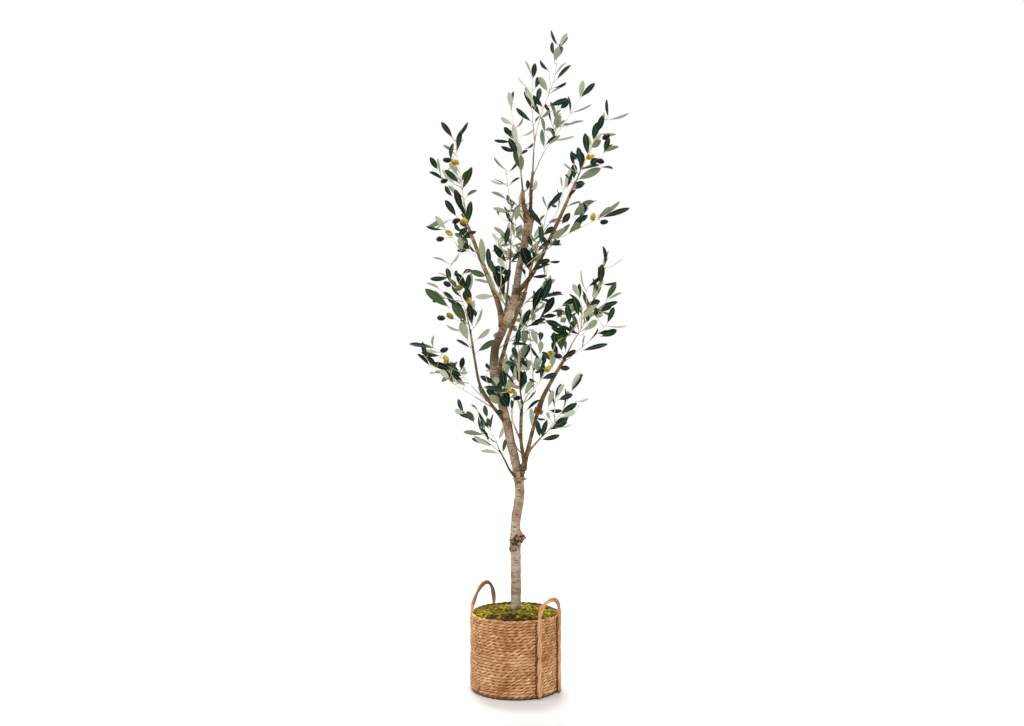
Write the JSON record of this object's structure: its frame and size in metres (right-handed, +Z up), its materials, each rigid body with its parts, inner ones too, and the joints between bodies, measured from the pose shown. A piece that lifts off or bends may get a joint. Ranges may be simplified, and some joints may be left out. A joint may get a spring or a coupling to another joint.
{
  "type": "artificial potted olive tree",
  "caption": "Tall artificial olive tree with a bent slender trunk, open leafy crown and a round rope basket with two handles, filled and topped with moss.",
  "frame": {"origin": "middle of the basket's flat underside", "axes": "+Z up along the trunk, +Y towards the back of the tree as pictured, +X to its right"},
  "size_m": [0.7445, 0.5913, 2.1261],
  "materials": {
    "rope": "coiled seagrass rope",
    "strap": "flat twisted seagrass strap",
    "plug": "dull weighted filling",
    "moss": "dried preserved moss",
    "bark": "pale grey-beige bark",
    "bough_bark": "olive-brown bark",
    "leaf": "coated cloth leaves"
  },
  "bodies": {
    "root": {"basket": "rope", "bough_centre": "bough_bark", "bough_crown_left": "bough_bark", "bough_inner": "bough_bark", "bough_leader": "bough_bark", "bough_left_high": "bough_bark", "bough_left_low": "bough_bark", "bough_left_mid": "bough_bark", "bough_low_left": "bough_bark", "bough_low_right": "bough_bark", "bough_right_high": "bough_bark", "bough_right_low": "bough_bark", "bough_right_mid": "bough_bark", "bough_right_mid_top": "bough_bark", "bough_right_out": "bough_bark", "filling": "plug", "handle_back": "strap", "handle_front": "strap", "mass_back_high": "leaf", "mass_back_low": "leaf", "mass_back_middle": "leaf", "mass_back_right": "leaf", "mass_back_top": "leaf", "mass_centre_back": "leaf", "mass_centre_right": "leaf", "mass_centre_top": "leaf", "mass_crown_left": "leaf", "mass_crown_right": "leaf", "mass_crown_tip": "leaf", "mass_front_high": "leaf", "mass_left_inner": "leaf", "mass_left_out": "leaf", "mass_left_out_low": "leaf", "mass_left_pale": "leaf", "mass_low_left": "leaf", "mass_low_left_out": "leaf", "mass_low_right": "leaf", "mass_mid_left": "leaf", "mass_middle_right": "leaf", "mass_right_arm": "leaf", "mass_right_inner": "leaf", "mass_right_out_low": "leaf", "mass_right_out_tip": "leaf", "mass_right_tip": "leaf", "mass_trunk_front": "leaf", "mass_upper_left": "leaf", "moss": "moss", "trunk": "bark"}
  },
  "joints": []
}
